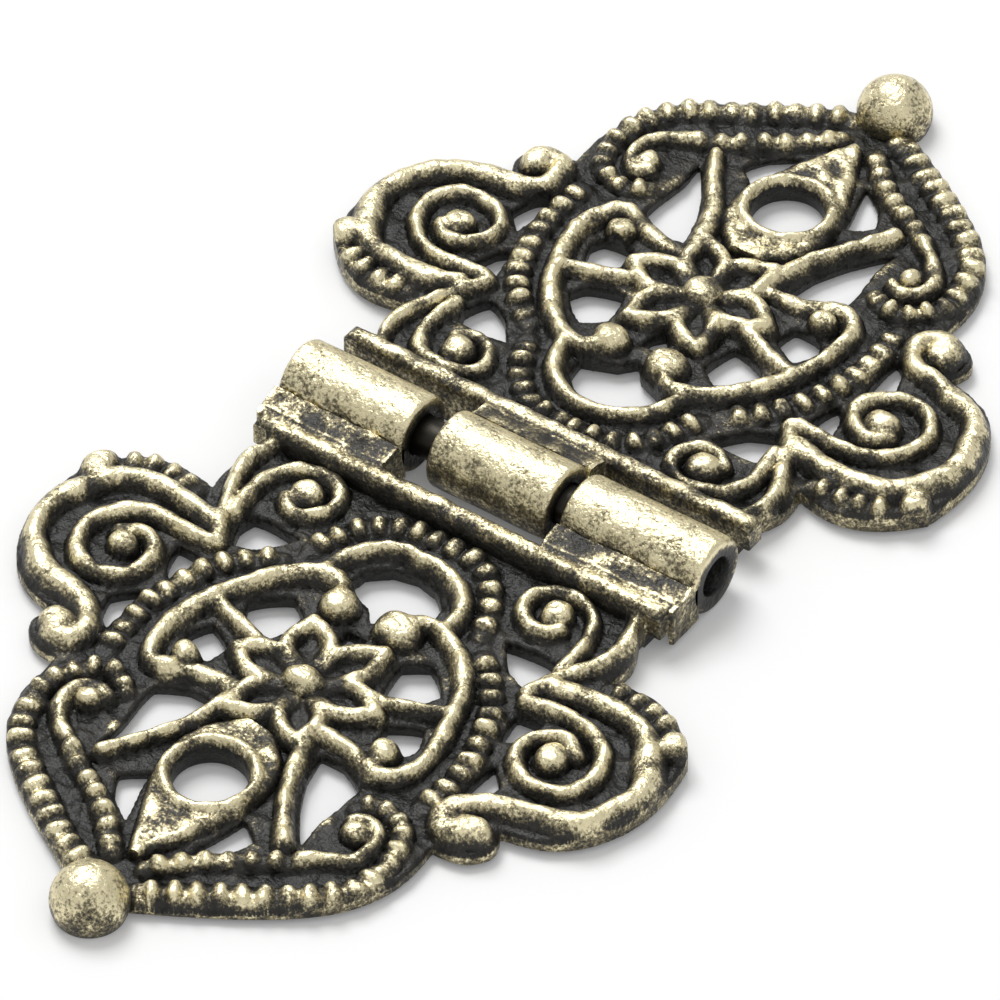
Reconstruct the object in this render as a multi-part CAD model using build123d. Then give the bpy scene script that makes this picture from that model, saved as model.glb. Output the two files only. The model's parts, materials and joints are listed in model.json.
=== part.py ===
from build123d import *
import os

os.makedirs("parts", exist_ok=True)

# Sizes in millimetres. X runs along the pin, Y across the hinge, Z up from the backs of the leaves.
TIP_REACH = 29.4
HALF_WIDTH = 15.7
TIP_RADIUS = 1.7
TIP_HEIGHT = 2.5
PIN_RADIUS = 0.9
PIN_HALF_LENGTH = 9.7
RUNNING_CLEARANCE = 0.05
PRESS_INTERFERENCE = 0.01
BARREL_RADIUS = 1.75
BARREL_END = 10.7
OUTER_KNUCKLE_LEFT = -4.3
OUTER_KNUCKLE_RIGHT = 3.8
MIDDLE_KNUCKLE_LEFT = -3.0
MIDDLE_KNUCKLE_RIGHT = 3.1
BAR_NEAR = 2.8
BAR_WIDTH = 0.95
BAR_HALF_LENGTH = 10.45
BAR_BOTTOM = 0.9
BAR_TOP = 2.2
BAR_CHAMFER = 0.15
WEB_BOTTOM = 0.3
WEB_TOP = 2.45
GROOVE_DEPTH = 0.35
PLATE_AT_BAR = 1.1
PLATE_AT_TIP = 0.55
RIDGE_RISE = 0.65
BEAD_RISE = 0.55
BEAD_WIDTH = 0.7
KNOB_RISE = 0.8
FLOWER_RADIUS = 0.8
FLOWER_RISE = 0.95
PETAL_RISE = 0.6
PETAL_RIM = 0.65
PETAL_START = 1.0
PETAL_SHOULDER = 2.1
PETAL_LENGTH = 3.5
PETAL_TURN = 24
PETAL_COUNT = 6
BOSS_RISE = 0.55
FOOT_DEPTH = 0.2
SCREW_HOLE_RADIUS = 1.6
FACET_LENGTH = 2.2
FACET_TURN = 50
KNOB_SIDES = 7
BALL_SIDES = 16
BALL_LEVELS = (0, 24, 46, 66, 82)
CURVE_SAMPLES = 160

# The scrollwork is drawn as (distance from the middle line, distance from the pin) and then
# stretched, so that its lobe and its tip come to the sizes above. Drawn widths follow the lesser stretch.
LOBE = (15.7, 11.6)
FLOWER = (0, 14.5)
SCREW_HOLE = (0, 21.1)
TIP = (0, 29.4)
BAR_FAR = BAR_NEAR + BAR_WIDTH
TAPER = (PLATE_AT_BAR - PLATE_AT_TIP) / (TIP_REACH - BAR_FAR)
STRETCH = min(HALF_WIDTH / LOBE[0], TIP_REACH / TIP[1])
PIN_AXIS = Pos(0, 0, BARREL_RADIUS) * Rot(0, 90, 0)


# A drawn point as a place on the leaf.
def at(x, reach):
    return Vector(x * HALF_WIDTH / LOBE[0], reach * TIP_REACH / TIP[1])


# The plate thins evenly from the bar to the tip.
def raised(point, rise):
    return Vector(point.X, point.Y, PLATE_AT_BAR - TAPER * (point.Y - BAR_FAR) + rise)


def through(points):
    return Spline(*[at(*p) for p in points])


def arc(*points):
    return ThreePointArc(*[at(*p) for p in points])


# Corner points along a smooth curve, closer together where it turns.
def corners(points):
    curve = through(points)
    fine = [curve @ (i / CURVE_SAMPLES) for i in range(CURVE_SAMPLES + 1)]
    steps = [b - a for a, b in zip(fine, fine[1:])]
    total = [0.0]
    for i, step in enumerate(steps):
        bend = steps[i - 1].get_angle(step) if i else 0.0
        total.append(total[-1] + step.length / FACET_LENGTH + bend / FACET_TURN)
    count = max(2, round(total[-1]))
    chosen = []
    for k in range(count + 1):
        goal = total[-1] * k / count
        nearest = min(range(len(total)), key=lambda i: abs(total[i] - goal))
        chosen.append(fine[nearest])
    return chosen


def face_of(*points):
    return Face(Wire.make_polygon(points))


# A roof-shaped ridge along a line of corner points: wide at the foot, sharp at the crest.
def ridge(line, width, rise):
    spread = width / 2 * (rise + FOOT_DEPTH) / rise
    left = []
    right = []
    peak = []
    for i, point in enumerate(line):
        before = (point - line[i - 1]).normalized() if i else None
        after = (line[i + 1] - point).normalized() if i + 1 < len(line) else before
        before = before or after
        along = (before + after).normalized()
        side = Vector(-along.Y, along.X) * (spread / along.dot(after))
        left.append(raised(point + side, -FOOT_DEPTH))
        right.append(raised(point - side, -FOOT_DEPTH))
        peak.append(raised(point, rise))
    faces = [face_of(*left, *right[::-1])]
    faces.append(face_of(left[0], right[0], peak[0]))
    faces.append(face_of(left[-1], right[-1], peak[-1]))
    for i in range(len(line) - 1):
        faces.append(face_of(left[i], left[i + 1], peak[i + 1], peak[i]))
        faces.append(face_of(right[i], right[i + 1], peak[i + 1], peak[i]))
    return Solid(Shell(faces))


def scroll(points, width):
    return ridge(corners(points), STRETCH * width, RIDGE_RISE)


# Beads set across a curve at even spacing.
def beads(points, count, length):
    curve = through(points)
    made = []
    for k in range(count):
        share = k / (count - 1)
        along = curve % share
        across = Vector(-along.Y, along.X) * (STRETCH * length / 2)
        made.append(ridge([curve @ share - across, curve @ share + across], BEAD_WIDTH, BEAD_RISE))
    return made


def circle_of(radius, sides):
    return [Vector(radius, 0).rotate(Axis.Z, 360 * k / sides) for k in range(sides)]


# A faceted solid on rings of points, one above the other.
def stacked(rings):
    faces = [face_of(*rings[0]), face_of(*rings[-1])]
    for low, high in zip(rings, rings[1:]):
        for k in range(len(low)):
            faces.append(face_of(low[k], low[k - 1], high[k - 1], high[k]))
    return Solid(Shell(faces))


# A round knob with a bevelled top.
def knob(middle, radius, rise):
    rings = []
    for level, size in ((-FOOT_DEPTH, radius), (rise / 2, radius), (rise, radius / 2)):
        rings.append([raised(middle + spoke, level) for spoke in circle_of(size, KNOB_SIDES)])
    return stacked(rings)


def drawn_knob(x, reach, radius):
    return knob(at(x, reach), STRETCH * radius, KNOB_RISE)


def mirrored(solids):
    return solids + [mirror(solid, about=Plane.YZ) for solid in solids]


# A flat outline raised to the sloping top of the plate, or a little above it.
def sloping(face, rise):
    cut = Plane(origin=raised(Vector(0, BAR_FAR), rise), z_dir=(0, TAPER, 1))
    return split(extrude(face, 2 * BARREL_RADIUS), bisect_by=cut, keep=Keep.BOTTOM)


# The pierced plate: the outside edge, then the openings between the scrolls.
def plate():
    shoulder = at(9.7, 4.2)
    side = [
        Line((0, BAR_NEAR), (shoulder.X, BAR_NEAR)),
        Line((shoulder.X, BAR_NEAR), shoulder),
        arc((9.7, 4.2), (10.3, 5.6), (10.2, 7.0)),
        arc((10.2, 7.0), (13.2, 7.1), (15.4, 8.9)),
        arc((15.4, 8.9), LOBE, (14.8, 14.6)),
        arc((14.8, 14.6), (13.4, 16.0), (11.4, 16.6)),
        arc((11.4, 16.6), (11.6, 18.1), (9.6, 18.9)),
        arc((9.6, 18.9), (9.6, 21.2), (8.8, 23.3)),
        arc((8.8, 23.3), (6.4, 25.7), (3.6, 27.5)),
        Line(at(3.6, 27.5), at(1.5, 28.7)),
        Line(at(1.5, 28.7), at(0, 28.7)),
    ]
    edge = side + [mirror(curve, about=Plane.YZ) for curve in side]
    face = make_face(edge)
    arch = [
        Polyline(at(-2.1, 8.5), at(-0.6, 9.1), at(0, 9.8), at(0.6, 9.1), at(2.1, 8.5)),
        arc((2.1, 8.5), (0, 6.4), (-2.1, 8.5)),
    ]
    face -= make_face(arch)
    face -= make_face(Polyline(at(-0.5, 10.7), at(0.5, 10.7), at(0, 11.9), close=True))
    openings = [
        [(2.5, 11.1), (3.5, 10.4), (4.9, 11.7), (4.5, 12.4), (2.9, 12.9)],
        [(4.1, 14.3), (5.4, 13.6), (5.9, 14.7), (5.6, 15.3), (4.3, 15.4)],
        [(2.8, 17.2), (3.9, 17.2), (5.2, 17.9), (5.0, 20.6), (5.1, 21.8), (3.9, 20.2), (3.1, 18.6)],
        [(2.4, 22.0), (3.4, 22.8), (2.8, 23.9), (1.7, 24.7), (2.1, 23.2)],
        [(5.3, 7.5), (7.7, 7.4), (7.9, 8.2), (7.4, 9.3), (6.3, 8.8)],
        [(8.1, 10.7), (9.3, 10.6), (8.9, 12.0), (8.5, 12.4)],
        [(9.0, 13.6), (9.9, 14.6), (9.5, 15.8), (9.0, 16.2)],
    ]
    for points in openings:
        hole = make_face(Polyline(*[at(*p) for p in points], close=True))
        face -= hole
        face -= mirror(hole, about=Plane.YZ)
    return sloping(face, 0)


def scrolls():
    half = [
        scroll([(1.6, 9.6), (2.1, 8.95), (3.2, 9.0), (4.6, 9.9), (5.65, 11.4), (6.35, 13.1),
                (6.7, 15.0), (6.5, 16.4), (5.8, 17.05), (5.1, 16.8)], 0.9),
        scroll([(8.8, 8.9), (10.3, 8.6), (12.0, 8.55), (13.6, 9.05), (14.5, 10.2), (14.9, 11.8),
                (14.7, 13.2), (13.8, 14.6), (12.6, 15.3), (11.0, 15.7), (9.8, 16.2), (9.3, 17.1),
                (9.6, 17.9), (10.4, 18.0)], 1.1),
        scroll([(8.2, 10.1), (9.6, 9.95), (11.2, 10.05), (12.5, 10.9), (13.0, 12.2), (12.5, 13.5),
                (11.2, 14.1), (10.0, 13.6), (9.5, 12.5), (9.9, 11.5), (10.9, 11.1), (11.7, 11.6)], 0.8),
        scroll([(9.3, 3.7), (9.75, 5.0), (9.6, 6.2), (9.1, 7.4), (8.5, 8.7), (7.9, 9.8)], 0.85),
        scroll([(8.2, 8.0), (8.45, 6.8), (8.3, 5.6), (7.6, 4.6), (6.5, 4.2), (5.4, 4.5),
                (4.95, 5.3), (5.3, 6.2), (6.2, 6.6), (7.0, 6.1)], 0.7),
        scroll([(8.75, 21.6), (8.85, 20.7), (8.6, 19.7), (8.1, 18.95), (7.4, 18.5), (6.6, 18.5),
                (5.9, 19.0)], 0.85),
        scroll([(0.9, 26.6), (3.0, 24.7), (5.0, 23.4), (6.6, 22.3), (7.5, 21.4), (7.75, 20.6), (7.5, 19.9),
                (6.9, 19.6), (6.3, 19.8)], 0.8),
        scroll([(2.0, 17.0), (2.5, 18.8), (3.4, 20.5), (4.6, 22.4)], 0.8),
        scroll([(2.6, 13.8), (4.0, 13.3), (5.9, 12.6)], 0.75),
        scroll([(2.4, 16.3), (4.0, 16.5), (5.4, 17.2)], 0.85),
        drawn_knob(1.45, 9.9, 0.95),
        drawn_knob(5.15, 16.0, 0.7),
        drawn_knob(11.0, 12.2, 0.75),
        drawn_knob(6.3, 5.4, 0.75),
        drawn_knob(10.6, 17.5, 0.85),
        drawn_knob(14.7, 8.9, 0.8),
        drawn_knob(6.8, 20.4, 0.6),
    ]
    half += beads([(0.55, 4.5), (2.5, 5.0), (3.7, 6.3), (4.4, 7.9)], 6, 1.1)
    half += beads([(5.2, 9.0), (6.3, 10.0), (7.4, 11.5), (8.0, 13.2), (8.3, 15.0), (8.2, 17.3)], 9, 1.1)
    half += beads([(10.9, 7.6), (12.4, 7.6), (14.0, 8.15)], 4, 1.1)
    half += beads([(2.1, 27.5), (5.1, 25.7), (7.6, 23.8), (8.6, 22.5)], 8, 1.3)
    arch = scroll([(-3.1, 8.8), (-2.8, 7.3), (-1.7, 6.2), (0, 5.8), (1.7, 6.2), (2.8, 7.3), (3.1, 8.8)], 0.85)
    return mirrored(half) + [arch]


# Petals, each with a raised rim that meets in a point, about a round middle.
def flower():
    middle = at(*FLOWER)
    made = [knob(middle, FLOWER_RADIUS, FLOWER_RISE)]
    for k in range(PETAL_COUNT):
        angle = 360 / PETAL_COUNT * k
        tip = middle + Vector(PETAL_LENGTH, 0).rotate(Axis.Z, angle)
        for turn in (-PETAL_TURN, PETAL_TURN):
            start = middle + Vector(PETAL_START, 0).rotate(Axis.Z, angle + turn)
            shoulder = middle + Vector(PETAL_SHOULDER, 0).rotate(Axis.Z, angle + turn)
            made.append(ridge([start, shoulder, tip], PETAL_RIM, PETAL_RISE))
    return made


# The pointed boss round the screw hole.
def boss():
    side = [
        Line(at(0, 17.6), at(0.7, 17.7)),
        arc((0.7, 17.7), (2.3, 20.2), (1.8, 22.9)),
        Line(at(1.8, 22.9), at(0.25, 26.4)),
        Line(at(0.25, 26.4), at(0, 26.4)),
    ]
    face = make_face(side + [mirror(curve, about=Plane.YZ) for curve in side])
    return sloping(face, BOSS_RISE)


# The ball at the point of the leaf, standing on the same flat back.
def tip_ball():
    equator = TIP_HEIGHT - TIP_RADIUS
    rings = [circle_of((TIP_RADIUS**2 - equator**2) ** 0.5, BALL_SIDES)]
    for level in BALL_LEVELS:
        edge = Vector(TIP_RADIUS, 0, 0).rotate(Axis.Y, -level)
        rings.append([spoke + Vector(0, 0, equator + edge.Z) for spoke in circle_of(edge.X, BALL_SIDES)])
    return Pos(at(*TIP)) * stacked(rings)


# One stretch of barrel with the grooved web that ties it to the bar.
def knuckle(left, right):
    barrel = Pos((left + right) / 2) * PIN_AXIS * Cylinder(BARREL_RADIUS, right - left)
    outline = [
        (0, WEB_BOTTOM),
        (BAR_FAR - BAR_CHAMFER, WEB_BOTTOM),
        (BAR_FAR - BAR_CHAMFER, BAR_TOP),
        (BAR_NEAR, BAR_TOP),
        (BARREL_RADIUS, WEB_TOP),
        (BARREL_RADIUS, WEB_TOP - GROOVE_DEPTH),
        (0, WEB_TOP - GROOVE_DEPTH),
    ]
    profile = make_face(Polyline(*outline, close=True))
    web = extrude(Plane(origin=(left, 0, 0), x_dir=(0, 1, 0), z_dir=(1, 0, 0)) * profile, right - left)
    return [barrel, web]


def bar():
    size = (2 * BAR_HALF_LENGTH, BAR_WIDTH, BAR_TOP - BAR_BOTTOM)
    block = Pos(0, BAR_NEAR + BAR_WIDTH / 2, (BAR_TOP + BAR_BOTTOM) / 2) * Box(*size)
    return chamfer(block.faces().sort_by(Axis.Z)[-1].edges(), BAR_CHAMFER)


def leaf(knuckles, bore_radius):
    solid = plate().fuse(bar(), boss(), tip_ball(), *scrolls(), *flower(), *knuckles)
    bore = PIN_AXIS * Cylinder(bore_radius, 3 * BARREL_END)
    screw_hole = Pos(at(*SCREW_HOLE)) * Cylinder(SCREW_HOLE_RADIUS, 4 * BARREL_RADIUS)
    return solid - bore - screw_hole


outer_knuckles = knuckle(-BARREL_END, OUTER_KNUCKLE_LEFT) + knuckle(OUTER_KNUCKLE_RIGHT, BARREL_END)
turned_knuckles = [mirror(k, about=Plane.YZ) for k in outer_knuckles]
front_leaf = Rot(0, 0, 180) * leaf(turned_knuckles, PIN_RADIUS - PRESS_INTERFERENCE)
rear_leaf = leaf(knuckle(MIDDLE_KNUCKLE_LEFT, MIDDLE_KNUCKLE_RIGHT), PIN_RADIUS + RUNNING_CLEARANCE)
hinge_pin = PIN_AXIS * Cylinder(PIN_RADIUS, 2 * PIN_HALF_LENGTH)

export_step(front_leaf, "parts/front_leaf.step")
export_step(rear_leaf, "parts/rear_leaf.step")
export_step(hinge_pin, "parts/hinge_pin.step")
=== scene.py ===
import json
import math

import bpy
import numpy as np
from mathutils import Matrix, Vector


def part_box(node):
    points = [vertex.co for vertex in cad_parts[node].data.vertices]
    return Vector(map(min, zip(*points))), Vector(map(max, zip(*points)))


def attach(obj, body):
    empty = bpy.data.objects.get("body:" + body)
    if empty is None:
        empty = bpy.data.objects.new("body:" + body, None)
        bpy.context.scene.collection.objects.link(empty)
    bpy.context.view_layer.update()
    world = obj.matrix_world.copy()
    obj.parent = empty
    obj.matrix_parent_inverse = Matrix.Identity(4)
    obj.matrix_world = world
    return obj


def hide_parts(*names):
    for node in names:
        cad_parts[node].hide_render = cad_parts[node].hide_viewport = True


bl_info = {
    "name": "Filigree Box Hinge",
    "version": (1, 0, 0),
    "blender": (4, 5, 0),
    "location": "View3D > Sidebar > Hinge",
    "description": "Builds a cast scrollwork box hinge in antique bronze, and its studio",
    "category": "Object",
}

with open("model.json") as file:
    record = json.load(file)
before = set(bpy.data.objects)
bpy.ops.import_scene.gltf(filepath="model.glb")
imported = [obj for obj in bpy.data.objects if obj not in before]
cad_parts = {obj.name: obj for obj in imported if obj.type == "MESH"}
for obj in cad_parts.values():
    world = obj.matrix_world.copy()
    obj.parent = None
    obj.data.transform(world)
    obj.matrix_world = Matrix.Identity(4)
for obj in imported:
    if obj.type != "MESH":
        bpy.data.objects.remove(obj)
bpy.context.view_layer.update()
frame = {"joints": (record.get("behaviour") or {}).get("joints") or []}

MM = 0.001
PIN_HEIGHT = frame["joints"][0]["pos_m"][2] / MM
PIN_END, _, PIN_TOP = np.array(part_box("hinge_pin")[1]) / MM
PIN_RADIUS = PIN_TOP - PIN_HEIGHT
PIN_CLEARANCE = 0.05
PIN_SOFT = 0.2
PIN_SIDES = 64

# The hinge side of a leaf, in millimetres. Reach is the distance from the pin axis.
BAR_NEAR = 2.8
BAR_FAR = 3.75
BAR_HALF = 10.45
BAR_TOP = 2.2
BAR_BOTTOM = 0.9
BAR_SOFT = 0.4
WEB_START = 1.2
WEB_TOP = 2.45
WEB_BOTTOM = 0.3
WEB_SOFT = 0.08
GROOVE_DEPTH = 0.35
BARREL_RADIUS = 1.75
BARREL_END = 10.7
BARREL_SOFT = 0.22
BARREL_STEP = 0.16
BARREL_SIDES = 96
BARREL_SOFT_STEPS = 4
BARREL_WALL = 0.3
BORE_SOFT = 0.08
OUTER_KNUCKLES = ((-BARREL_END, -4.3), (3.8, BARREL_END))
MIDDLE_KNUCKLE = ((-3.0, 3.1),)

# The plate thins evenly from the bar to the tip.
PLATE_HALF = 9.6
PLATE_AT_BAR = 1.1
PLATE_AT_TIP = 0.55
EDGE_ROUND = 0.22
UNDERCUT = 0.28
THIN_EDGE = 0.06

SCREW_HOLE = (0.0, 21.1)
SCREW_HOLE_RADIUS = 1.6
FLOWER = (0.0, 14.5)
FLOWER_RADIUS = 0.88
FLOWER_RISE = 0.98
PETALS = 6
PETAL_START = 1.0
PETAL_SHOULDER = 2.1
PETAL_LENGTH = 3.5
PETAL_TURN = math.radians(24)
PETAL_RIM = 0.5
PETAL_RISE = 0.72
PETAL_SINK = 0.7
PETAL_FILL = 0.12
TIP = (0.0, 29.4)
TIP_RADIUS = 1.7
TIP_TOP = 2.5
BALL_SIDES = 72
BALL_LEVELS = 37
TAPER = (PLATE_AT_BAR - PLATE_AT_TIP) / (TIP[1] - BAR_FAR)

# The drawn curves of one half of a leaf, as (across, reach) points in millimetres; each is mirrored.
EDGE = [
    [(0, BAR_NEAR), (9.7, BAR_NEAR)],
    [(9.7, BAR_NEAR), (9.7, 4.2)],
    [(9.7, 4.2), (10.3, 5.6), (10.2, 7.0)],
    [(10.2, 7.0), (12.0, 6.75), (13.8, 7.4), (15.4, 8.9)],
    [(15.4, 8.9), (15.7, 11.6), (14.8, 14.6), (13.4, 16.0), (11.4, 16.6)],
    [(11.4, 16.6), (11.75, 17.6), (11.2, 18.5), (9.6, 18.9)],
    [(9.6, 18.9), (9.6, 21.2), (8.8, 23.3), (6.4, 25.7), (3.6, 27.5), (1.5, 28.7)],
    [(1.5, 28.7), (0, 28.7)],
]
ARCH_OPENING = [(-2.1, 8.5), (-1.95, 7.4), (-1.1, 6.65), (0, 6.4), (1.1, 6.65), (1.95, 7.4), (2.1, 8.5),
                (0.6, 9.1), (0, 9.8), (-0.6, 9.1)]
MIDDLE_OPENING = [(-0.5, 10.7), (0.5, 10.7), (0.4, 11.4), (0, 11.9), (-0.4, 11.4)]
OPENINGS = [
    [(2.5, 11.1), (3.5, 10.4), (4.9, 11.7), (4.5, 12.4), (2.9, 12.9)],
    [(4.1, 14.3), (5.4, 13.6), (5.9, 14.7), (5.6, 15.3), (4.3, 15.4)],
    [(2.8, 17.2), (3.9, 17.2), (5.2, 17.9), (5.0, 20.6), (5.1, 21.8), (3.9, 20.2), (3.1, 18.6)],
    [(2.4, 22.0), (3.4, 22.8), (2.8, 23.9), (1.7, 24.7), (2.1, 23.2)],
    [(5.3, 7.5), (7.7, 7.4), (7.9, 8.2), (7.4, 9.3), (6.3, 8.8)],
    [(8.1, 10.7), (9.3, 10.6), (8.9, 12.0), (8.5, 12.4)],
    [(9.0, 13.6), (9.9, 14.6), (9.5, 15.8), (9.0, 16.2)],
]
# Plain ridges: the drawn points, the half width and the rise above the plate.
RIDGES = [
    ([(1.6, 9.6), (2.1, 8.95), (3.2, 9.0), (4.6, 9.9), (5.65, 11.4), (6.35, 13.1), (6.7, 15.0),
      (6.5, 16.4), (5.8, 17.05), (5.1, 16.8)], 0.54, 0.72),
    ([(8.8, 8.9), (10.3, 8.6), (12.0, 8.55), (13.6, 9.05), (14.5, 10.2), (14.9, 11.8), (14.7, 13.2),
      (13.8, 14.6), (12.6, 15.3), (11.0, 15.7), (9.8, 16.2), (9.3, 17.1), (9.6, 17.9), (10.4, 18.0)],
     0.68, 0.76),
    ([(8.2, 10.1), (9.6, 9.95), (11.2, 10.05), (12.5, 10.9), (13.0, 12.2), (12.5, 13.5), (11.2, 14.1),
      (10.0, 13.6), (9.5, 12.5), (9.9, 11.5), (10.9, 11.1), (11.7, 11.6)], 0.47, 0.68),
    ([(9.3, 3.7), (9.75, 5.0), (9.6, 6.2), (9.1, 7.4), (8.5, 8.7), (7.9, 9.8)], 0.5, 0.68),
    ([(8.2, 8.0), (8.45, 6.8), (8.3, 5.6), (7.6, 4.6), (6.5, 4.2), (5.4, 4.5), (4.95, 5.3), (5.3, 6.2),
      (6.2, 6.6), (7.0, 6.1)], 0.44, 0.65),
    ([(5.8, 22.85), (6.6, 22.3), (7.5, 21.4), (7.75, 20.6), (7.5, 19.9), (6.9, 19.6), (6.3, 19.8)],
     0.44, 0.64),
    ([(2.0, 17.0), (2.5, 18.8), (3.4, 20.5), (4.6, 22.4)], 0.48, 0.68),
    ([(2.6, 13.8), (4.0, 13.3), (5.9, 12.6)], 0.44, 0.64),
    ([(2.4, 16.3), (4.0, 16.5), (5.4, 17.2)], 0.5, 0.56),
]
ARCH = ([(-3.1, 8.8), (-2.8, 7.3), (-1.7, 6.2), (0, 5.8), (1.7, 6.2), (2.8, 7.3), (3.1, 8.8)], 0.5, 0.7)
# Beaded bands: the drawn points, the half length of a bead at both ends, its rise, the bead spacing
# and the share of the rise that the band keeps between beads.
BEADED = [
    ([(0.0, 4.5), (2.0, 4.75), (3.6, 6.1), (4.4, 7.9)], 0.58, 0.58, 0.55, 0.95, 0.35),
    ([(5.2, 9.0), (6.3, 10.0), (7.4, 11.5), (8.0, 13.2), (8.3, 15.0), (8.2, 17.4)],
     0.6, 0.6, 0.55, 0.95, 0.35),
    ([(10.6, 7.6), (12.4, 7.55), (14.0, 8.15)], 0.55, 0.65, 0.58, 0.9, 0.4),
    ([(1.4, 27.9), (2.1, 27.5), (5.1, 25.75), (7.6, 23.85), (8.6, 22.5), (8.75, 21.5)],
     0.72, 0.66, 0.6, 0.95, 0.55),
    ([(0.9, 26.6), (3.0, 24.7), (5.0, 23.4), (6.2, 22.6)], 0.56, 0.52, 0.64, 0.95, 0.65),
    ([(8.8, 21.2), (8.85, 20.7), (8.6, 19.7), (8.1, 18.95), (7.4, 18.5), (6.6, 18.5), (5.9, 19.0)],
     0.56, 0.48, 0.62, 0.85, 0.6),
]
# Round knobs: across, reach, radius and rise.
KNOBS = [
    (1.45, 9.9, 1.0, 0.9),
    (5.15, 16.0, 0.72, 0.84),
    (11.0, 12.2, 0.8, 0.85),
    (6.3, 5.4, 0.8, 0.84),
    (10.6, 17.5, 0.9, 0.84),
    (14.7, 8.9, 0.82, 0.78),
    (6.8, 20.4, 0.62, 0.78),
]
BOSS = [(0.7, 17.7), (1.9, 18.9), (2.36, 20.9), (1.8, 22.9), (0.25, 26.4)]
BOSS_RISE = 0.55
BOSS_SPREAD = 0.1
BOSS_SLOPE = 0.4
RIM_HALF = 0.36
RIM_RISE = 0.8

# Powers that shape the cross sections of the raised forms, and the share of its spacing a bead fills.
RIDGE_FLATNESS = 2.2
RIDGE_FULLNESS = 0.8
BEAD_FLATNESS = 3.0
BEAD_SHARPNESS = 2.4
BEAD_SHARE = 0.86
BEAD_FULLNESS = 0.6
BAND_FLATNESS = 2
BAND_FULLNESS = 0.75
KNOB_FLATNESS = 3
BLEND_POWER = 6.0

# Unevenness of the casting, and the seeds of its random draws.
WANDER = 0.06
SQUASH = 0.09
SWELL = 0.1
SWELL_LIMIT = 0.2
SWELL_ROOM = 1.3
BEAD_SPREAD = 0.14
BEAD_LIMIT = 0.2
LUMP = 0.2
GRIT = 0.5
TURNED_LUMP_CELLS = 3
TURNED_LUMP_HEIGHT = 2.6
FRONT_SEED = 3
REAR_SEED = 7
BARREL_SEEDS = 10
BALL_SEED = 20

# How far the finish is rubbed, from 0 in the recesses to 1 on the crests. The barrel and the ball are also
# made lighter toward the top and darker underneath.
WEAR_REACH = 0.62
WEAR_BLUR = 2
CREST_MARGIN = 0.14
AIR_DROP = 0.3
FULL_RISE = 0.6
RAISED_WEAR = 0.58
LUMP_WEAR = 0.06
BAR_WEAR = 0.45
BAR_CREST_WEAR = 0.3
WEB_WEAR = 0.5
WEB_LUMP_WEAR = 0.08
WEB_EDGE_WEAR = 0.28
WEB_EDGE_WIDTH = 0.18
OPENING_WEAR = 0.15
OUTER_WEAR = 0.56
BARREL_WEAR = 0.58
BARREL_TOP_LIGHTENING = 0.22
BARREL_LUMP_WEAR = 0.05
BALL_WEAR = 0.58
BALL_TOP_LIGHTENING = 0.27

# The grid that a leaf is carved on.
GRID_HALF_WIDTH = 16.6
GRID_START = -0.4
GRID_END = 31.8
DEPTH_LIMIT = 1.2
PATH_CHUNK = 24
OPENING_POINTS = 120
OPENING_SOFTNESS = 0.35
BACK_BLOCK = 4
SHARP_EDGE = math.radians(50)


class HingeSizes(bpy.types.PropertyGroup):
    """How finely the castings are made."""

    grid_step: bpy.props.FloatProperty(
        name="Grid step", description="Distance between points of the carved surface",
        default=0.098 * MM, unit="LENGTH")
    roughness_depth: bpy.props.FloatProperty(
        name="Cast roughness", description="Depth of the cast skin's unevenness",
        default=0.03 * MM, unit="LENGTH")


class HingeFinish(bpy.types.PropertyGroup):
    """The colours of the antique finish, and of the pin steel darkened as painted shade."""

    black: bpy.props.FloatVectorProperty(
        name="Black", description="Deepest recesses",
        size=3, subtype="COLOR", default=(0.004, 0.004, 0.003))
    patina: bpy.props.FloatVectorProperty(
        name="Patina", description="Blackened metal on the slopes",
        size=3, subtype="COLOR", default=(0.027, 0.025, 0.02))
    dull: bpy.props.FloatVectorProperty(
        name="Dull bronze", description="Half-rubbed metal",
        size=3, subtype="COLOR", default=(0.25, 0.217, 0.135))
    bright: bpy.props.FloatVectorProperty(
        name="Rubbed brass", description="Worn metal on the ridges",
        size=3, subtype="COLOR", default=(0.87, 0.78, 0.51))
    # Painted shade: the pin's steel is set far darker than its own tone, so that it reads as the shade in
    # the gaps between the knuckles and in the bore.
    shade_darkened_steel: bpy.props.FloatVectorProperty(
        name="Pin steel", description="Dull steel of the pin",
        size=3, subtype="COLOR", default=(0.06, 0.056, 0.048))


class HingeStudio(bpy.types.PropertyGroup):
    """Light and floor."""

    floor: bpy.props.FloatVectorProperty(
        name="Floor", description="Colour of the floor",
        size=3, subtype="COLOR", default=(0.8, 0.8, 0.8))
    floor_glow: bpy.props.FloatProperty(
        name="Floor glow", description="How much the floor is whitened where it is seen", default=0.11)
    sky: bpy.props.FloatProperty(
        name="Sky", description="Strength of the even light from all round", default=0.6)
    key_power: bpy.props.FloatProperty(
        name="Key light", description="Power of the large soft light", default=2.21, unit="POWER")
    fill_power: bpy.props.FloatProperty(
        name="Fill light", description="Power of the weak light opposite", default=0.204, unit="POWER")


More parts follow.
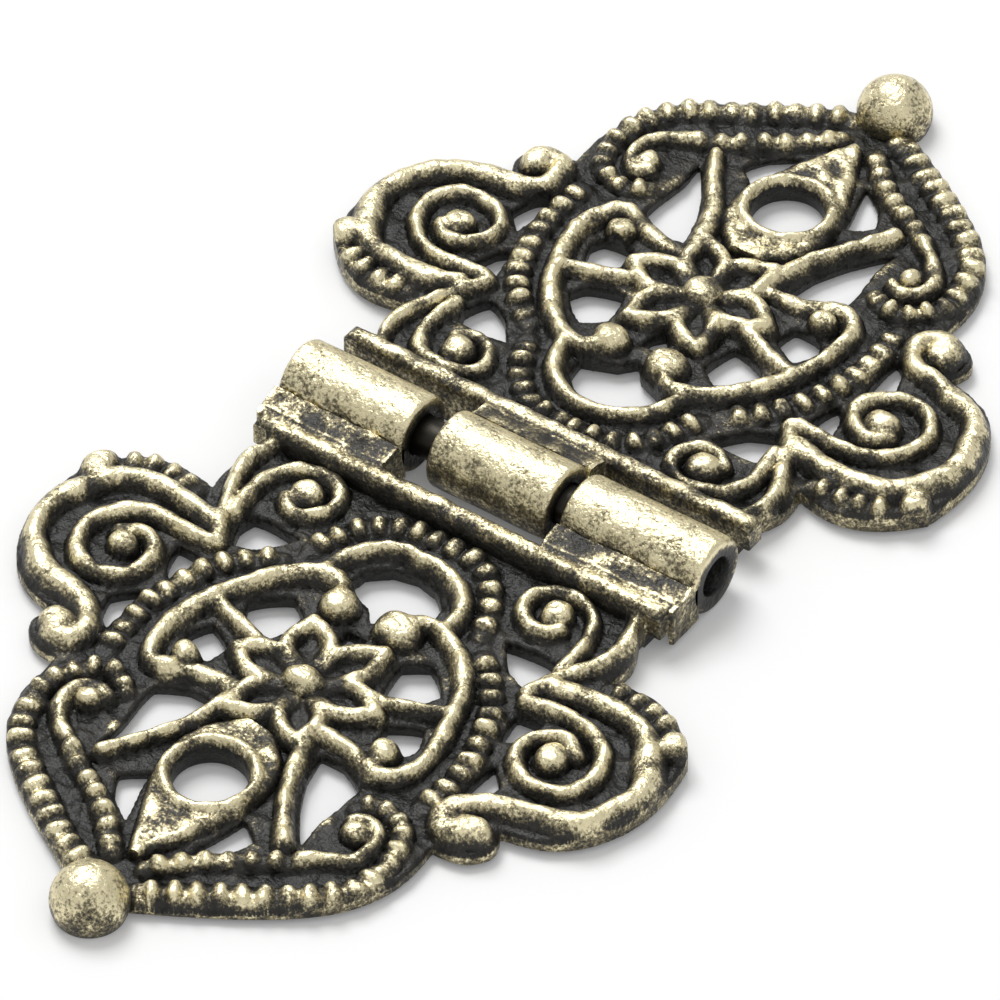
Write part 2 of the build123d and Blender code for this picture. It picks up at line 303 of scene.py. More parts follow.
def smooth_curve(points, spacing=0.06):
    """Evenly spaced points on a smooth curve through the drawn points."""
    knots = np.asarray(points, float)
    steps = np.linalg.norm(np.diff(knots, axis=0), axis=1)
    chord = np.concatenate([[0.0], np.cumsum(steps)])
    count = len(knots)
    matrix = np.eye(count)
    pull = np.zeros((count, 2))
    for i in range(1, count - 1):
        matrix[i, i - 1:i + 2] = steps[i - 1], 2 * (steps[i - 1] + steps[i]), steps[i]
        pull[i] = 6 * ((knots[i + 1] - knots[i]) / steps[i] - (knots[i] - knots[i - 1]) / steps[i - 1])
    bend = np.linalg.solve(matrix, pull)
    along = np.linspace(0.0, chord[-1], max(2, int(chord[-1] / spacing) + 1))
    k = np.clip(np.searchsorted(chord, along, side="right") - 1, 0, count - 2)
    b = ((along - chord[k]) / steps[k])[:, None]
    a = 1.0 - b
    lift = ((a**3 - a) * bend[k] + (b**3 - b) * bend[k + 1]) * (steps[k][:, None] ** 2) / 6.0
    return a * knots[k] + b * knots[k + 1] + lift


def both_sides(points):
    """The drawn points, and the same points on the other side of the leaf's middle line."""
    return [points, [(-x, reach) for x, reach in points]]


def mirrored_loop(half):
    """A closed outline from its points on one side of the middle line."""
    return np.vstack([half, half[::-1] * (-1, 1)])


def straight_loop(corners, count):
    """Evenly spread points on a straight-sided closed line."""
    steps = np.linalg.norm(np.diff(corners, axis=0), axis=1)
    chord = np.concatenate([[0.0], np.cumsum(steps)])
    along = np.linspace(0.0, chord[-1], count + 1)[:-1]
    return np.column_stack([np.interp(along, chord, corners[:, k]) for k in range(2)])


def ridge_section(distance, half):
    """Height of a rounded ridge, from 1 on its crest to 0 at its half width."""
    return np.clip(1.0 - (distance / half) ** RIDGE_FLATNESS, 0.0, 1.0) ** RIDGE_FULLNESS


def rounded(depth, radius):
    """How much an edge rounded to a radius drops at a depth inside it."""
    near = radius - np.clip(depth, 0.0, radius)
    return radius - np.sqrt(np.maximum(radius**2 - near**2, 0.0))


def blurred(field, cells):
    """A field averaged over a square of cells, three times for a soft result."""
    size = 2 * cells + 1
    for axis in (0, 1):
        for _ in range(3):
            padded = np.pad(field, [(cells, cells) if a == axis else (0, 0) for a in range(2)], mode="edge")
            total = np.cumsum(padded, axis=axis)
            total = np.concatenate([np.zeros_like(np.take(total, [0], axis)), total], axis=axis)
            ahead = np.take(total, range(size, total.shape[axis]), axis)
            behind = np.take(total, range(0, total.shape[axis] - size), axis)
            field = (ahead - behind) / size
    return field


def extreme(field, cells, pick):
    """The greatest or least value of a field within a square of cells."""
    for axis in (0, 1):
        field = pick.reduce([np.roll(field, k, axis) for k in range(-cells, cells + 1)])
    return field


class Relief:
    """A grid over one leaf on which its plate, ridges and beads are laid down."""

    def __init__(self, step, seed):
        self.step = step
        self.x = np.arange(-GRID_HALF_WIDTH, GRID_HALF_WIDTH, step)
        self.reach = np.arange(GRID_START, GRID_END, step)
        self.gx, self.gy = np.meshgrid(self.x, self.reach)
        self.rise = np.zeros_like(self.gx)
        self.random = np.random.default_rng(seed)
        self.hole = np.hypot(self.gx - SCREW_HOLE[0], self.gy - SCREW_HOLE[1]) - SCREW_HOLE_RADIUS
        self.bar = self.box_depth((-BAR_HALF, BAR_NEAR), (BAR_HALF, BAR_FAR))
        self.ground = PLATE_AT_BAR - TAPER * (self.gy - BAR_FAR)
        self.pierce()

    def window(self, path, margin):
        """The part of the grid within a margin of some path points."""
        low = path.min(axis=0) - margin
        high = path.max(axis=0) + margin
        columns = slice(*np.searchsorted(self.x, (low[0], high[0])))
        rows = slice(*np.searchsorted(self.reach, (low[1], high[1])))
        return rows, columns

    def near(self, path, margin):
        """Distance to a path, and the number of its nearest point, within a margin of it."""
        distance = np.full_like(self.gx, margin)
        index = np.zeros(self.gx.shape, int)
        for start in range(0, len(path), PATH_CHUNK):
            part = path[start:start + PATH_CHUNK + 1]
            area = self.window(part, margin)
            dx = self.gx[area][..., None] - part[:, 0]
            dy = self.gy[area][..., None] - part[:, 1]
            gap = dx * dx + dy * dy
            nearest = gap.argmin(axis=-1)
            gap = np.sqrt(np.take_along_axis(gap, nearest[..., None], -1)[..., 0])
            closer = gap < distance[area]
            distance[area] = np.where(closer, gap, distance[area])
            index[area] = np.where(closer, nearest + start, index[area])
        return distance, index

    def inside(self, loop):
        """True at the grid points within a closed loop of points."""
        crossed = np.zeros(self.gx.shape, bool)
        for (x0, y0), (x1, y1) in zip(loop, np.roll(loop, -1, axis=0)):
            rows = slice(*np.searchsorted(self.reach, sorted((y0, y1))))
            height = self.reach[rows]
            if len(height) == 0:
                continue
            cross = x0 + (height - y0) * (x1 - x0) / (y1 - y0)
            crossed[rows] ^= self.x[None, :] > cross[:, None]
        return crossed

    def depth(self, loop):
        """Distance inside a closed loop, negative outside, up to a limit."""
        distance, _ = self.near(np.vstack([loop, loop[:1]]), DEPTH_LIMIT)
        return np.where(self.inside(loop), distance, -distance)

    def box_depth(self, low, high):
        """How far inside an upright rectangle each grid point lies, negative outside."""
        across = np.minimum(self.gx - low[0], high[0] - self.gx)
        out = np.minimum(self.gy - low[1], high[1] - self.gy)
        return np.minimum(across, out)

    def uneven(self, cells):
        """Random lumps of a few cells across, of unit spread."""
        field = blurred(self.random.normal(0.0, 1.0, self.gx.shape), cells)
        return field / field.std()

    def wander(self, points):
        """The drawn points with the small unevenness of hand work."""
        return np.asarray(points, float) + self.random.normal(0.0, WANDER, (len(points), 2))

    def pierce(self):
        """Sets how far inside the plate each grid point lies, with and without its openings."""
        self.outer = self.depth(mirrored_loop(np.vstack([smooth_curve(part)[:-1] for part in EDGE])))
        self.plate = self.outer
        for points in OPENINGS:
            for side in both_sides(points):
                closed = np.array(side + side[:1])
                curved = smooth_curve(closed)[:-1]
                straight = straight_loop(closed, len(curved))
                soft = curved * OPENING_SOFTNESS + straight * (1.0 - OPENING_SOFTNESS)
                self.plate = np.minimum(self.plate, -self.depth(soft))
        for points in (ARCH_OPENING, MIDDLE_OPENING):
            loop = straight_loop(np.array(points + points[:1]), OPENING_POINTS)
            self.plate = np.minimum(self.plate, -self.depth(loop))
        self.plate = np.minimum(self.plate, np.clip(self.hole, -DEPTH_LIMIT, DEPTH_LIMIT))

    def lay(self, rise):
        """Adds a raised form, rounding the valley where it meets the others."""
        self.rise = (self.rise**BLEND_POWER + np.maximum(rise, 0.0) ** BLEND_POWER) ** (1.0 / BLEND_POWER)

    def ridge(self, points, half, rise):
        """A rounded ridge along a path, swelling and thinning a little on its way."""
        path = smooth_curve(self.wander(points))
        distance, index = self.near(path, SWELL_ROOM * half)
        swell = 1.0 + np.clip(self.random.normal(0.0, SWELL, len(points)), -SWELL_LIMIT, SWELL_LIMIT)
        width = half * np.interp(index, np.linspace(0, len(path) - 1, len(points)), swell)
        self.lay(rise * ridge_section(distance, width))

    def beaded(self, points, half_start, half_end, rise, spacing, base):
        """A band of beads set across a path, on a low ridge."""
        path = smooth_curve(self.wander(points))
        distance, index = self.near(path, max(half_start, half_end))
        run = np.linalg.norm(np.diff(path, axis=0), axis=1).sum()
        share = index / (len(path) - 1)
        half = half_start + (half_end - half_start) * share
        beads = max(2, round(run / spacing))
        turn = np.abs((share * beads) % 1.0 - 0.5) * 2.0
        bead = 1.0 - (distance / half) ** BEAD_FLATNESS - (turn / BEAD_SHARE) ** BEAD_SHARPNESS
        sizes = 1.0 + np.clip(BEAD_SPREAD * self.random.normal(0.0, 1.0, beads + 1), -BEAD_LIMIT, BEAD_LIMIT)
        band = np.clip(1.0 - (distance / half) ** BAND_FLATNESS, 0.0, 1.0) ** BAND_FULLNESS
        self.lay(rise * sizes[(share * beads).astype(int)] * np.clip(bead, 0.0, 1.0) ** BEAD_FULLNESS)
        self.lay(base * rise * band)

    def knob(self, x, reach, radius, rise):
        """A round lump, a little out of true and flattened on top."""
        shift = self.random.normal(0.0, WANDER, 2)
        squash = 1.0 + self.random.normal(0.0, SQUASH, 2)
        distance = np.hypot((self.gx - x - shift[0]) * squash[0], (self.gy - reach - shift[1]) * squash[1])
        self.lay(rise * np.sqrt(np.clip(1.0 - (distance / radius) ** KNOB_FLATNESS, 0.0, 1.0)))

    def flower(self):
        """Petals with raised rims and sunk middles about a round eye."""
        x, reach = FLOWER
        self.knob(x, reach, FLOWER_RADIUS, FLOWER_RISE)
        away = np.clip(np.hypot(self.gx - x, self.gy - reach) / PETAL_SHOULDER, 0.0, 1.0)
        corners = [(PETAL_START, -PETAL_TURN), (PETAL_SHOULDER, -PETAL_TURN), (PETAL_LENGTH, 0.0),
                   (PETAL_SHOULDER, PETAL_TURN), (PETAL_START, PETAL_TURN)]
        for k in range(PETALS):
            turns = [(out, 2 * math.pi * k / PETALS + angle) for out, angle in corners]
            petal = self.wander([(x + out * math.cos(a), reach + out * math.sin(a)) for out, a in turns])
            outline = np.vstack([smooth_curve(petal[:3]), smooth_curve(petal[2:])])
            distance, _ = self.near(outline, PETAL_RIM)
            self.lay(PETAL_RISE * away**PETAL_SINK * ridge_section(distance, PETAL_RIM))
            self.lay(PETAL_FILL * self.inside(petal))

    def boss(self):
        """The pointed boss: a plateau that slopes at its edge, and the round rim of the screw hole."""
        slope = np.clip((self.depth(mirrored_loop(smooth_curve(BOSS))) + BOSS_SPREAD) / BOSS_SLOPE, 0.0, 1.0)
        self.lay(BOSS_RISE * np.sqrt(slope * (2.0 - slope)))
        self.lay(RIM_RISE * np.sqrt(np.clip(1.0 - ((self.hole - RIM_HALF) / RIM_HALF) ** 2, 0.0, 1.0)))

    def pattern(self):
        """Lays down all the raised work of a leaf."""
        for points, half, rise in RIDGES:
            for side in both_sides(points):
                self.ridge(side, half, rise)
        self.ridge(*ARCH)
        for points, *sizes in BEADED:
            for side in both_sides(points):
                self.beaded(side, *sizes)
        for x, reach, radius, rise in KNOBS:
            self.knob(x, reach, radius, rise)
            self.knob(-x, reach, radius, rise)
        self.flower()
        self.boss()

    def form(self, knuckles, roughness):
        """Sets the top and the back of the metal and how far it extends, with the bar and the webs."""
        bar = self.bar
        top = self.ground + self.rise - rounded(self.plate, EDGE_ROUND)
        top = np.where(bar > 0, np.maximum(top, BAR_TOP - rounded(bar, BAR_SOFT)), top)
        bottom = UNDERCUT - np.minimum(self.plate, UNDERCUT)
        bottom[bar > 0] = 0.0
        bottom[(bar > 0) & (np.abs(self.gx) > PLATE_HALF) & (self.plate < 0)] = BAR_BOTTOM
        solid = np.maximum(self.plate, bar)
        slope = (self.gy - BARREL_RADIUS) / (BAR_NEAR - BARREL_RADIUS)
        web_top = np.where(slope > 0, WEB_TOP + (BAR_TOP - WEB_TOP) * slope, WEB_TOP - GROOVE_DEPTH)
        for left, right in knuckles:
            web = self.box_depth((left, WEB_START), (right, BAR_NEAR + BAR_SOFT))
            top = np.where(web > 0, np.maximum(top * (bar > 0), web_top - rounded(web, WEB_SOFT)), top)
            bottom[(web > 0) & (bar <= 0)] = WEB_BOTTOM
            solid = np.maximum(solid, web)
        self.lumps = self.uneven(round(LUMP / self.step))
        self.top = np.maximum(top + roughness * (self.lumps + GRIT * self.uneven(1)), UNDERCUT + THIN_EDGE)
        self.bottom = bottom
        self.solid = solid

    def rub(self, knuckles):
        """Sets how far the finish is rubbed on the top and round the edges."""
        metal = np.where(self.solid > 0, self.top, self.ground - AIR_DROP)
        reach = round(WEAR_REACH / self.step)
        lowest = blurred(extreme(metal, reach, np.minimum), WEAR_BLUR)
        highest = blurred(extreme(metal, reach, np.maximum), WEAR_BLUR)
        crest = (metal - lowest) / (highest - lowest + CREST_MARGIN)
        raised = np.clip((metal - self.ground) / FULL_RISE, 0.0, 1.0)
        rubbed = np.maximum(crest, RAISED_WEAR * raised) + LUMP_WEAR * self.lumps
        bar_crest = np.clip(self.bar, 0.0, BAR_SOFT) / BAR_SOFT
        bar_rubbed = BAR_WEAR + BAR_CREST_WEAR * bar_crest + LUMP_WEAR * self.lumps
        rubbed = np.where(self.bar > 0, bar_rubbed, rubbed)
        for left, right in knuckles:
            web = self.box_depth((left, WEB_START), (right, BAR_NEAR))
            web_edge = WEB_EDGE_WEAR * np.clip(1.0 - web / WEB_EDGE_WIDTH, 0.0, 1.0)
            rubbed = np.where(web > 0, WEB_WEAR + web_edge + WEB_LUMP_WEAR * self.lumps, rubbed)
        self.rubbed = np.clip(rubbed, 0.0, 1.0)
        self.edge = np.where(self.plate == self.outer, OUTER_WEAR, OPENING_WEAR)


# Each shape below is its points in metres, its faces and how far each point is rubbed.

def leaf_shape(step, seed, knuckles, turn, roughness):
    """The carved leaf as one closed surface with smooth edges, at its place in the hinge."""
    relief = Relief(step, seed)
    relief.pattern()
    relief.form(knuckles, roughness)
    relief.rub(knuckles)
    solid = relief.solid
    filled = solid > 0
    blocks = back_blocks(filled & (relief.bottom == 0.0))
    points = []
    rub = []
    faces = []
    number = {}

    def place(a, b, above):
        """A point of the top or the back, on a grid point or where the edge passes between two."""
        a, b = min(a, b), max(a, b)
        key = (a, b, above)
        if key not in number:
            share = 0.0 if a == b else solid[a] / (solid[a] - solid[b])
            inner = a if filled[a] else b
            side = relief.top if above else relief.bottom
            height = side[inner]
            if relief.plate[inner] == solid[inner]:
                height = side[a] + share * (side[b] - side[a])
            across = relief.x[a[1]] + share * (relief.x[b[1]] - relief.x[a[1]])
            reach = relief.reach[a[0]] + share * (relief.reach[b[0]] - relief.reach[a[0]])
            number[key] = len(points)
            points.append((across, reach, height))
            worn = relief.rubbed[inner] if above else OPENING_WEAR
            rub.append(worn if a == b else relief.edge[inner])
        return number[key]

    cells = filled[:-1, :-1] | filled[:-1, 1:] | filled[1:, :-1] | filled[1:, 1:]
    for i, j in np.argwhere(cells).tolist():
        corners = ((i, j), (i, j + 1), (i + 1, j + 1), (i + 1, j))
        outline = []
        for a, b in zip(corners, corners[1:] + corners[:1]):
            if filled[a]:
                outline.append((a, a))
            if filled[a] != filled[b]:
                outline.append((a, b))
        faces.append([place(a, b, True) for a, b in outline])
        if not blocks[i // BACK_BLOCK, j // BACK_BLOCK]:
            faces.append([place(a, b, False) for a, b in reversed(outline)])
        for p, q in zip(outline, outline[1:] + outline[:1]):
            if p[0] != p[1] and q[0] != q[1]:
                faces.append([place(*q, True), place(*p, True), place(*p, False), place(*q, False)])
    for row, column in np.argwhere(blocks).tolist():
        faces.append([place(a, a, False) for a in reversed(block_outline(blocks, row, column))])
    verts = np.array(points) * MM
    if turn:
        verts[:, :2] *= -1.0
    return verts.tolist(), faces, rub


def back_blocks(flat):
    """True for each square block of cells that lies wholly in the flat back."""
    cells = flat[:-1, :-1] & flat[:-1, 1:] & flat[1:, :-1] & flat[1:, 1:]
    cells = np.pad(cells, [(0, -size % BACK_BLOCK + BACK_BLOCK) for size in cells.shape])
    rows, columns = (size // BACK_BLOCK for size in cells.shape)
    return cells.reshape(rows, BACK_BLOCK, columns, BACK_BLOCK).all(axis=(1, 3))


def block_outline(blocks, row, column):
    """Grid points round a block of the back, with all those that its smaller neighbours use."""
    sides = (
        ((0, 0), (0, 1), (-1, 0)),
        ((0, 1), (1, 0), (0, 1)),
        ((1, 1), (0, -1), (1, 0)),
        ((1, 0), (-1, 0), (0, -1)),
    )
    loop = []
    for corner, along, beside in sides:
        start = np.array((row + corner[0], column + corner[1])) * BACK_BLOCK
        count = 1 if blocks[row + beside[0], column + beside[1]] else BACK_BLOCK
        loop += [tuple((start + k * np.array(along)).tolist()) for k in range(count)]
    return loop


def ring_faces(rings, sides, joined):
    """Faces between rings of points. The last ring joins the first, or both ends get a flat cap."""
    faces = []
    for k in range(rings if joined else rings - 1):
        here = k * sides
        there = (k + 1) % rings * sides
        for n in range(sides):
            after = (n + 1) % sides
            faces.append([here + n, here + after, there + after, there + n])
    if not joined:
        faces.append(list(reversed(range(sides))))
        faces.append(list(range((rings - 1) * sides, rings * sides)))
    return faces


def about_pin(x, radius, angle):
    """A point at a distance from the pin axis, in metres."""
    return x * MM, radius * math.cos(angle) * MM, (PIN_HEIGHT + radius * math.sin(angle)) * MM


def turned_lumps(rings, sides, seed):
    """Unevenness of the skin of a turned shape."""
    noise = np.random.default_rng(seed).normal(0.0, 1.0, (rings, sides))
    return blurred(noise, TURNED_LUMP_CELLS) * TURNED_LUMP_HEIGHT


def barrel_stations(left, right, bore):
    """The outline of a knuckle with softened ends, as (place along the pin, radius) points."""
    stations = [(left, BARREL_RADIUS - BARREL_SOFT)]
    for k in range(1, BARREL_SOFT_STEPS + 1):
        angle = k * math.pi / (2 * BARREL_SOFT_STEPS)
        drop = BARREL_SOFT * (1 - math.sin(angle))
        stations.append((left + BARREL_SOFT * (1 - math.cos(angle)), BARREL_RADIUS - drop))
    straight = right - left - 2 * BARREL_SOFT
    count = int(straight / BARREL_STEP)
    stations += [(left + BARREL_SOFT + straight * k / count, BARREL_RADIUS) for k in range(1, count)]
    end = stations[:BARREL_SOFT_STEPS + 1]
    stations += [(left + right - x, radius) for x, radius in reversed(end)]
    inner = [(left, bore + BORE_SOFT), (left + BORE_SOFT, bore)]
    stations += [(left + right - x, radius) for x, radius in inner]
    return stations + inner[::-1]


def barrel_shape(left, right, bore, seed, roughness):
    """A knuckle of the barrel with a bore and a slightly uneven skin."""
    stations = barrel_stations(left, right, bore)
    lumps = turned_lumps(len(stations), BARREL_SIDES, seed)
    points = []
    rub = []
    for k, (x, radius) in enumerate(stations):
        outside = radius > bore + BARREL_WALL
        for n in range(BARREL_SIDES):
            angle = 2 * math.pi * n / BARREL_SIDES
            lump = lumps[k, n]
            points.append(about_pin(x, radius + (roughness * lump if outside else 0.0), angle))
            # The barrel is made lighter toward the top and darker underneath.
            worn = BARREL_WEAR + BARREL_TOP_LIGHTENING * math.sin(angle) + BARREL_LUMP_WEAR * lump
            rub.append(worn if outside else 0.0)
    return points, ring_faces(len(stations), BARREL_SIDES, True), rub


def ball_shape(turn, seed, roughness):
    """The ball at the leaf's point, flat where it meets the back."""
    lumps = turned_lumps(BALL_LEVELS, BALL_SIDES, seed)
    centre = np.array((TIP[0], -TIP[1] if turn else TIP[1], TIP_TOP - TIP_RADIUS))
    points = []
    rub = []
    for k in range(BALL_LEVELS):
        rise = math.pi * ((k + 0.5) / BALL_LEVELS - 0.5)
        level = math.cos(rise)
        for n in range(BALL_SIDES):
            angle = 2 * math.pi * n / BALL_SIDES
            out = np.array((level * math.cos(angle), level * math.sin(angle), math.sin(rise)))
            x, y, z = centre + out * (TIP_RADIUS + roughness * (lumps[k, n] - 1.0))
            points.append((x * MM, y * MM, max(z, 0.0) * MM))
            # The ball is made lighter toward the top and darker underneath.
            rub.append(BALL_WEAR + BALL_TOP_LIGHTENING * out[2])
    return points, ring_faces(BALL_LEVELS, BALL_SIDES, False), rub


def pin_shape():
    """The pin, with softened ends."""
    profile = [(-PIN_END, PIN_RADIUS - PIN_SOFT), (-PIN_END + PIN_SOFT, PIN_RADIUS),
               (PIN_END - PIN_SOFT, PIN_RADIUS), (PIN_END, PIN_RADIUS - PIN_SOFT)]
    angles = [2 * math.pi * n / PIN_SIDES for n in range(PIN_SIDES)]
    points = [about_pin(x, radius, angle) for x, radius in profile for angle in angles]
    return points, ring_faces(len(profile), PIN_SIDES, False), [0.0] * len(points)


def show(name, shapes, material):
    """One object from several shapes, carrying how far each point is rubbed."""
    points = []
    faces = []
    rub = []
    for shape_points, shape_faces, worn in shapes:
        start = len(points)
        points += shape_points
        faces += [[start + i for i in face] for face in shape_faces]
        rub += worn
    mesh = bpy.data.meshes.new(name)
    mesh.from_pydata(points, [], faces)
    attribute = mesh.attributes.new("rubbed", "FLOAT", "POINT")
    attribute.data.foreach_set("value", np.array(rub, np.float32))
    mesh.materials.append(material)
    mesh.polygons.foreach_set("use_smooth", [True] * len(mesh.polygons))
    mesh.set_sharp_from_angle(angle=SHARP_EDGE)
    piece = bpy.data.objects.new(name, mesh)
    bpy.context.collection.objects.link(piece)
    return piece


class Nodes:
    """Short calls for laying out a material."""

    def __init__(self, name):
        self.material = bpy.data.materials.new(name)
        self.material.use_nodes = True
        self.tree = self.material.node_tree
        self.tree.nodes.clear()

    def add(self, kind, inputs=None, **settings):
        """A node with its settings, its inputs set to values or linked to other nodes."""
        node = self.tree.nodes.new(kind)
        for key, value in settings.items():
            setattr(node, key, value)
        for key, value in (inputs or {}).items():
            if isinstance(value, bpy.types.NodeSocket):
                self.tree.links.new(value, node.inputs[key])
            else:
                node.inputs[key].default_value = value
        return node

    def maths(self, operation, first, second):
        """The result of a sum on two values."""
        return self.add("ShaderNodeMath", {0: first, 1: second}, operation=operation).outputs[0]

    def noise(self, place, scale, detail, roughness):
        """A noise pattern about 0.5."""
        inputs = {"Vector": place, "Scale": scale, "Detail": detail, "Roughness": roughness}
        return self.add("ShaderNodeTexNoise", inputs).outputs["Fac"]

    def finish(self, shader):
        """Puts a shader on the surface and gives the material."""
        self.add("ShaderNodeOutputMaterial", {"Surface": shader.outputs[0]})
        return self.material


def antique_bronze(finish):
    """Black patina worn through to brass on the ridges, with a grainy edge between the two."""
    m = Nodes("rubbed_bronze")
    place = m.add("ShaderNodeTexCoord").outputs["Object"]
    rubbed = m.add("ShaderNodeAttribute", attribute_name="rubbed").outputs["Fac"]
    grain = m.noise(place, 6500.0, 4.0, 0.7)
    cloud = m.noise(place, 1100.0, 4.0, 0.6)
    speck = m.maths("SUBTRACT", grain, 0.5)
    patch = m.maths("MULTIPLY", m.maths("SUBTRACT", cloud, 0.5), 0.7)
    worn = m.maths("ADD", m.maths("ADD", rubbed, speck), patch)
    ramp = m.add("ShaderNodeValToRGB", {"Fac": worn})
    stops = ramp.color_ramp.elements
    stops[0].position = 0.05
    stops[0].color = (*finish.black, 1.0)
    stops[1].position = 0.77
    stops[1].color = (*finish.bright, 1.0)
    for position, colour in ((0.45, finish.patina), (0.61, finish.dull)):
        stops.new(position).color = (*colour, 1.0)
    bare = m.add("ShaderNodeMapRange", {"Value": worn, "From Min": 0.42, "From Max": 0.64})
    matt = m.add("ShaderNodeMapRange", {
        "Value": worn, "From Min": 0.5, "From Max": 0.8, "To Min": 0.36, "To Max": 0.34})
    dents = m.add("ShaderNodeBump", {"Height": cloud, "Strength": 0.8, "Distance": 0.0003})
    bump = m.add("ShaderNodeBump", {
        "Height": grain, "Strength": 0.6, "Distance": 0.00005, "Normal": dents.outputs["Normal"]})
    return m.finish(m.add("ShaderNodeBsdfPrincipled", {
        "Base Color": ramp.outputs["Color"], "Roughness": matt.outputs["Result"],
        "Metallic": bare.outputs["Result"], "Specular IOR Level": 0.35, "Normal": bump.outputs["Normal"]}))


def shade_darkened_pin_steel(finish):
    """Steel set far darker than its own tone, as painted shade for the dark gaps between the knuckles and in
    the bore; slightly mottled.
    """
    m = Nodes("shade_darkened_pin_steel")
    place = m.add("ShaderNodeTexCoord").outputs["Object"]
    fine = m.noise(place, 3000.0, 3.0, 0.5)
    ramp = m.add("ShaderNodeValToRGB", {"Fac": fine})
    ramp.color_ramp.elements[0].color = (*[0.5 * c for c in finish.shade_darkened_steel], 1.0)
    ramp.color_ramp.elements[1].color = (*finish.shade_darkened_steel, 1.0)
    bump = m.add("ShaderNodeBump", {"Height": fine, "Strength": 0.3, "Distance": 0.00002})
    return m.finish(m.add("ShaderNodeBsdfPrincipled", {
        "Base Color": ramp.outputs["Color"], "Roughness": 0.42, "Metallic": 1.0,
        "Normal": bump.outputs["Normal"]}))


def pale_floor(studio):
    """A pale card that is whitened a little where the camera or a reflection sees it."""
    m = Nodes("pale_floor")
    ray = m.add("ShaderNodeLightPath").outputs
    mirrored = m.maths("MAXIMUM", ray["Is Glossy Ray"], ray["Is Transmission Ray"])
    seen = m.maths("MAXIMUM", ray["Is Camera Ray"], mirrored)
    card = m.add("ShaderNodeBsdfDiffuse", {"Color": (*studio.floor, 1.0)})
    glow = m.add("ShaderNodeEmission", {
        "Color": (1.0, 1.0, 1.0, 1.0), "Strength": m.maths("MULTIPLY", seen, studio.floor_glow)})
    return m.finish(m.add("ShaderNodeAddShader", {0: card.outputs[0], 1: glow.outputs[0]}))


def shared_material(name, make):
    """A finish that several pieces share, made once."""
    return bpy.data.materials.get(name) or make(bpy.context.scene.hinge_finish)


def build_leaf(node, body, knuckles, bore, turn, seed):
    """One cast leaf with its barrel, standing for its CAD node."""
    sizes = bpy.context.scene.hinge_sizes
    step = sizes.grid_step / MM
    roughness = sizes.roughness_depth / MM
    on_grid = tuple((-right, -left) for left, right in knuckles) if turn else knuckles
    shapes = [leaf_shape(step, seed, on_grid, turn, roughness)]
    for k, (left, right) in enumerate(knuckles):
        shapes.append(barrel_shape(left, right, bore, seed + BARREL_SEEDS + k, roughness))
    shapes.append(ball_shape(turn, seed + BALL_SEED, roughness))
    piece = show(node + "_casting", shapes, shared_material("rubbed_bronze", antique_bronze))
    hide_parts(node)
    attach(piece, body)


class HINGE_OT_front_leaf(bpy.types.Operator):
    """Builds the near leaf with its outer knuckles"""

    bl_idname = "hinge.front_leaf"
    bl_label = "Front leaf"

    def execute(self, context):
        build_leaf("front_leaf", "front", OUTER_KNUCKLES, PIN_RADIUS, True, FRONT_SEED)
        return {"FINISHED"}


class HINGE_OT_rear_leaf(bpy.types.Operator):
    """Builds the far leaf with its middle knuckle"""

    bl_idname = "hinge.rear_leaf"
    bl_label = "Rear leaf"

    def execute(self, context):
        build_leaf("rear_leaf", "rear", MIDDLE_KNUCKLE, PIN_RADIUS + PIN_CLEARANCE, False, REAR_SEED)
        return {"FINISHED"}


class HINGE_OT_pin(bpy.types.Operator):
    """Builds the pin with its softened ends"""

    bl_idname = "hinge.pin"
    bl_label = "Hinge pin"

    def execute(self, context):
        rod = show("hinge_pin_rod", [pin_shape()], shared_material("shade_darkened_pin_steel", shade_darkened_pin_steel))
        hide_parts("hinge_pin")
        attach(rod, "front")
        return {"FINISHED"}


# The camera, with its lengths in millimetres, and the lamps and the floor, in metres.
CAMERA_AZIMUTH = math.radians(35.16)
CAMERA_ELEVATION = math.radians(43.56)
CAMERA_DISTANCE = 498.6
CAMERA_LENS = 426.0
CAMERA_SENSOR = 36.0
AIM_RIGHT = -0.265
AIM_UP = 0.235
KEY_PLACE = (-0.25, 0.15, 0.5)
KEY_SIZE = 0.3
FILL_PLACE = (0.4, -0.3, 0.4)
FILL_SIZE = 0.4
FLOOR_HALF = 3.0


def soft_light(name, place, size, power):
    """A square lamp that faces the hinge."""
    lamp = bpy.data.lights.new(name, "AREA")
    lamp.size = size
    lamp.energy = power
    light = bpy.data.objects.new(name, lamp)
    light.location = place
    light.rotation_euler = (-Vector(place)).to_track_quat("-Z", "Y").to_euler()
    bpy.context.collection.objects.link(light)


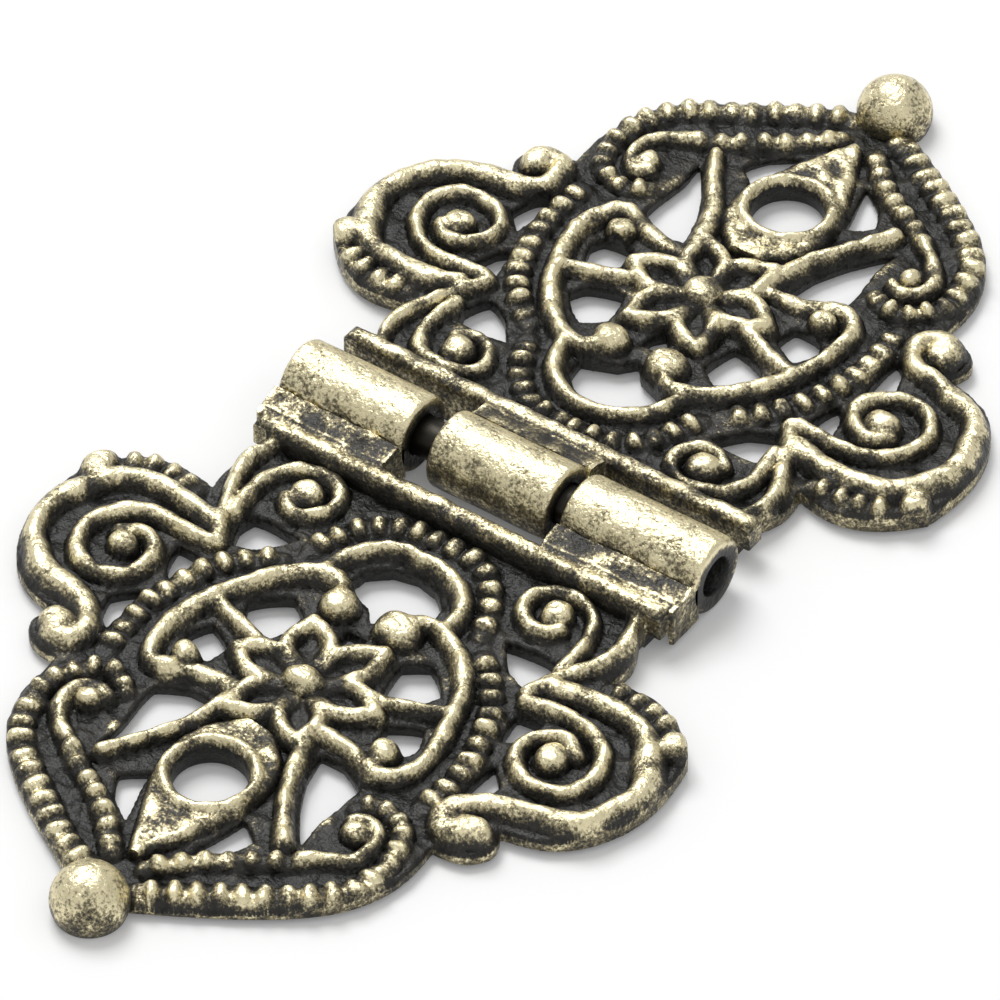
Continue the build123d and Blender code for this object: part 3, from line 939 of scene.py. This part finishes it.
class HINGE_OT_stage(bpy.types.Operator):
    """Sets the floor, the light and the camera"""

    bl_idname = "hinge.stage"
    bl_label = "Studio"

    def execute(self, context):
        studio = context.scene.hinge_studio
        self.floor(context, studio)
        world = bpy.data.worlds.new("studio")
        world.use_nodes = True
        sky = world.node_tree.nodes["Background"].inputs
        sky["Color"].default_value = (1.0, 1.0, 1.0, 1.0)
        sky["Strength"].default_value = studio.sky
        context.scene.world = world
        soft_light("key", KEY_PLACE, KEY_SIZE, studio.key_power)
        soft_light("fill", FILL_PLACE, FILL_SIZE, studio.fill_power)
        self.camera(context)
        context.scene.view_settings.view_transform = "Standard"
        return {"FINISHED"}

    def floor(self, context, studio):
        """A plain pale floor under the leaf backs."""
        corners = [(x * FLOOR_HALF, y * FLOOR_HALF, 0) for x, y in ((-1, -1), (1, -1), (1, 1), (-1, 1))]
        floor_mesh = bpy.data.meshes.new("floor")
        floor_mesh.from_pydata(corners, [], [(0, 1, 2, 3)])
        floor_mesh.materials.append(pale_floor(studio))
        floor = bpy.data.objects.new("floor", floor_mesh)
        context.collection.objects.link(floor)

    def camera(self, context):
        """A long lens that looks down on the hinge from the front right."""
        level = math.cos(CAMERA_ELEVATION)
        back = Vector((math.sin(CAMERA_AZIMUTH) * level, -math.cos(CAMERA_AZIMUTH) * level,
                       math.sin(CAMERA_ELEVATION)))
        right = Vector((math.cos(CAMERA_AZIMUTH), math.sin(CAMERA_AZIMUTH), 0.0))
        up = back.cross(right)
        lens = bpy.data.cameras.new("camera")
        lens.lens = CAMERA_LENS
        lens.sensor_width = CAMERA_SENSOR
        camera = bpy.data.objects.new("camera", lens)
        camera.location = (back * CAMERA_DISTANCE + right * AIM_RIGHT + up * AIM_UP) * MM
        camera.rotation_euler = back.to_track_quat("Z", "Y").to_euler()
        context.collection.objects.link(camera)
        context.scene.camera = camera


class HINGE_PT_panel(bpy.types.Panel):
    """Lists the pieces of the hinge"""

    bl_idname = "HINGE_PT_panel"
    bl_label = "Filigree Box Hinge"
    bl_space_type = "VIEW_3D"
    bl_region_type = "UI"
    bl_category = "Hinge"

    def draw(self, context):
        for group in (context.scene.hinge_sizes, context.scene.hinge_finish, context.scene.hinge_studio):
            for name in group.__annotations__:
                self.layout.prop(group, name)
        for operator in OPERATORS:
            self.layout.operator(operator.bl_idname)


GROUPS = {"hinge_sizes": HingeSizes, "hinge_finish": HingeFinish, "hinge_studio": HingeStudio}
OPERATORS = (HINGE_OT_front_leaf, HINGE_OT_rear_leaf, HINGE_OT_pin, HINGE_OT_stage)


def register():
    for name, group in GROUPS.items():
        bpy.utils.register_class(group)
        setattr(bpy.types.Scene, name, bpy.props.PointerProperty(type=group))
    for operator in OPERATORS:
        bpy.utils.register_class(operator)
    bpy.utils.register_class(HINGE_PT_panel)


def unregister():
    bpy.utils.unregister_class(HINGE_PT_panel)
    for operator in OPERATORS:
        bpy.utils.unregister_class(operator)
    for name, group in GROUPS.items():
        delattr(bpy.types.Scene, name)
        bpy.utils.unregister_class(group)


def main():
    register()
    bpy.ops.hinge.front_leaf()
    bpy.ops.hinge.rear_leaf()
    bpy.ops.hinge.pin()
    bpy.ops.hinge.stage()


if __name__ == "__main__":
    main()
